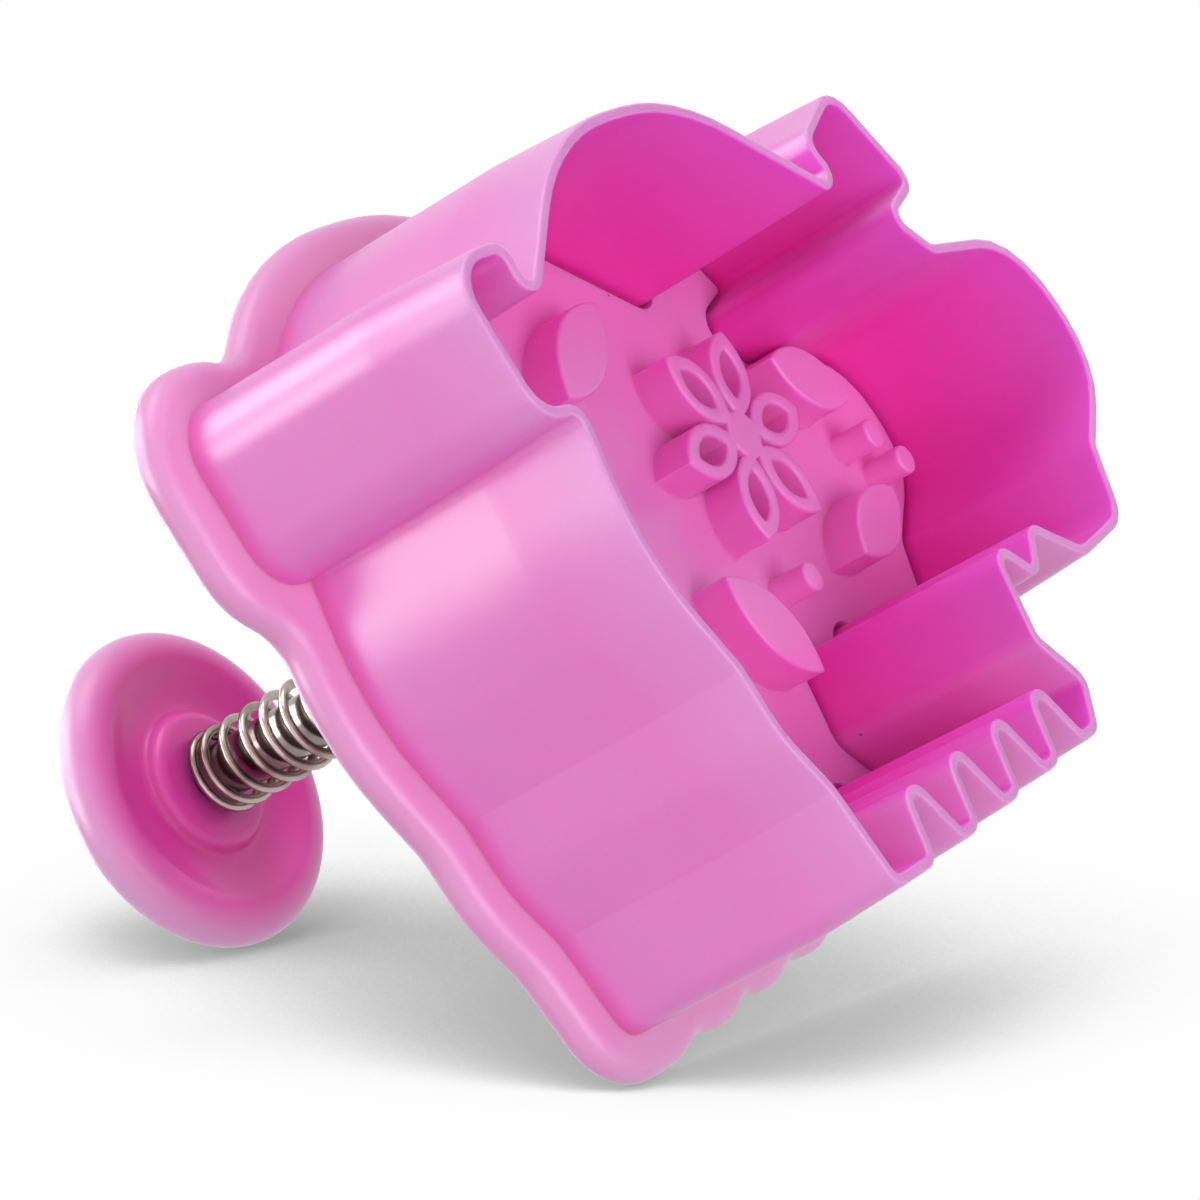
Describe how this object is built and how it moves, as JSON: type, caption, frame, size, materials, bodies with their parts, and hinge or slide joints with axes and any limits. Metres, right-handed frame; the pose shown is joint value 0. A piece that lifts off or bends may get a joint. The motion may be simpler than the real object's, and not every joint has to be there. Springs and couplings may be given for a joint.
{
  "type": "plunger cookie cutter",
  "caption": "Spring-loaded cookie cutter: a lobed and pleated cutting wall on a flanged back plate, with a sliding embossing stamp on a sprung stem under a round push knob.",
  "frame": {"origin": "where the plunger's axis meets the plane of the cutting edge", "axes": "+Z along the plunger's axis, from the cutting edge to the knob; +X along the cutter's longer side; +Y towards the pleated hem"},
  "size_m": [0.0827, 0.062, 0.072],
  "materials": {
    "shell_plastic": "semi-gloss moulded",
    "stamp_plastic": "semi-gloss moulded",
    "knob_plastic": "satin moulded",
    "stem_steel": "drawn bright rod",
    "spring_steel": "bright drawn wire"
  },
  "bodies": {
    "shell": {"cutter_shell": "shell_plastic", "return_spring": "spring_steel"},
    "plunger": {"stamp_plate": "stamp_plastic", "stem_rod": "stem_steel", "push_knob": "knob_plastic"}
  },
  "joints": [
    {"name": "plunger_slide", "type": "slide", "parent": "shell", "child": "plunger", "axis": [0, 0, -1], "range_m": [0, 0.018], "stiffness_N_per_m": 900, "springref_m": -0.004, "deforming": ["return_spring"]}
  ]
}
